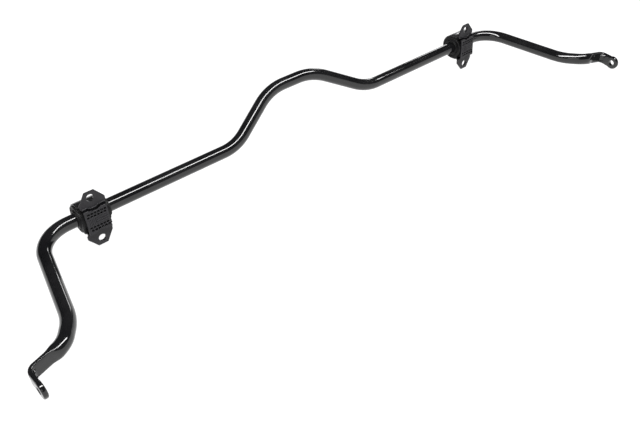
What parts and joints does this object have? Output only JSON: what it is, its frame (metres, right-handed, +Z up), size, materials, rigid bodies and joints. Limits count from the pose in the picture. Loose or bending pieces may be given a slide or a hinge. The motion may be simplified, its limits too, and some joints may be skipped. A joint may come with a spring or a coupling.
{
  "type": "stabilizer bar",
  "caption": "Bent round spring steel stabilizer bar with flattened link eyes and rubber bushing clamps that swivel on it.",
  "frame": {"origin": "middle of the bounding box, at the level of the clamps' lower ends and the link eyes' lowest points", "axes": "+X along the bar's middle run towards its right end, +Y towards its back, away from the arms, +Z up"},
  "size_m": [1.1312, 0.2784, 0.1072],
  "materials": {
    "bar_paint": "gloss black paint over spring steel",
    "plate_coating": "matte black electrocoat on pressed steel",
    "strap_paint": "semi-gloss black paint on bent steel strip",
    "rubber": "matte black moulded rubber",
    "inlay_metal": "bare pressed aluminium, hidden in the rubber"
  },
  "bodies": {
    "bar": {"stabilizer_bar": "bar_paint"},
    "left_clamp": {"left_clamp_plate": "plate_coating", "left_clamp_strap": "strap_paint", "left_bushing_front": "rubber", "left_bushing_rear": "rubber", "left_bushing_inlay_front": "inlay_metal", "left_bushing_inlay_rear": "inlay_metal"},
    "right_clamp": {"right_clamp_plate": "plate_coating", "right_clamp_strap": "strap_paint", "right_bushing_front": "rubber", "right_bushing_rear": "rubber", "right_bushing_inlay_front": "inlay_metal", "right_bushing_inlay_rear": "inlay_metal"}
  },
  "joints": [
    {"name": "left_clamp_swivel", "type": "hinge", "parent": "bar", "child": "left_clamp", "pos_m": [-0.3863, 0.09755, 0.0453], "axis": [1, 0, 0], "range_deg": [-30, 30]},
    {"name": "right_clamp_swivel", "type": "hinge", "parent": "bar", "child": "right_clamp", "pos_m": [0.3863, 0.09755, 0.0453], "axis": [1, 0, 0], "range_deg": [-30, 30]}
  ]
}
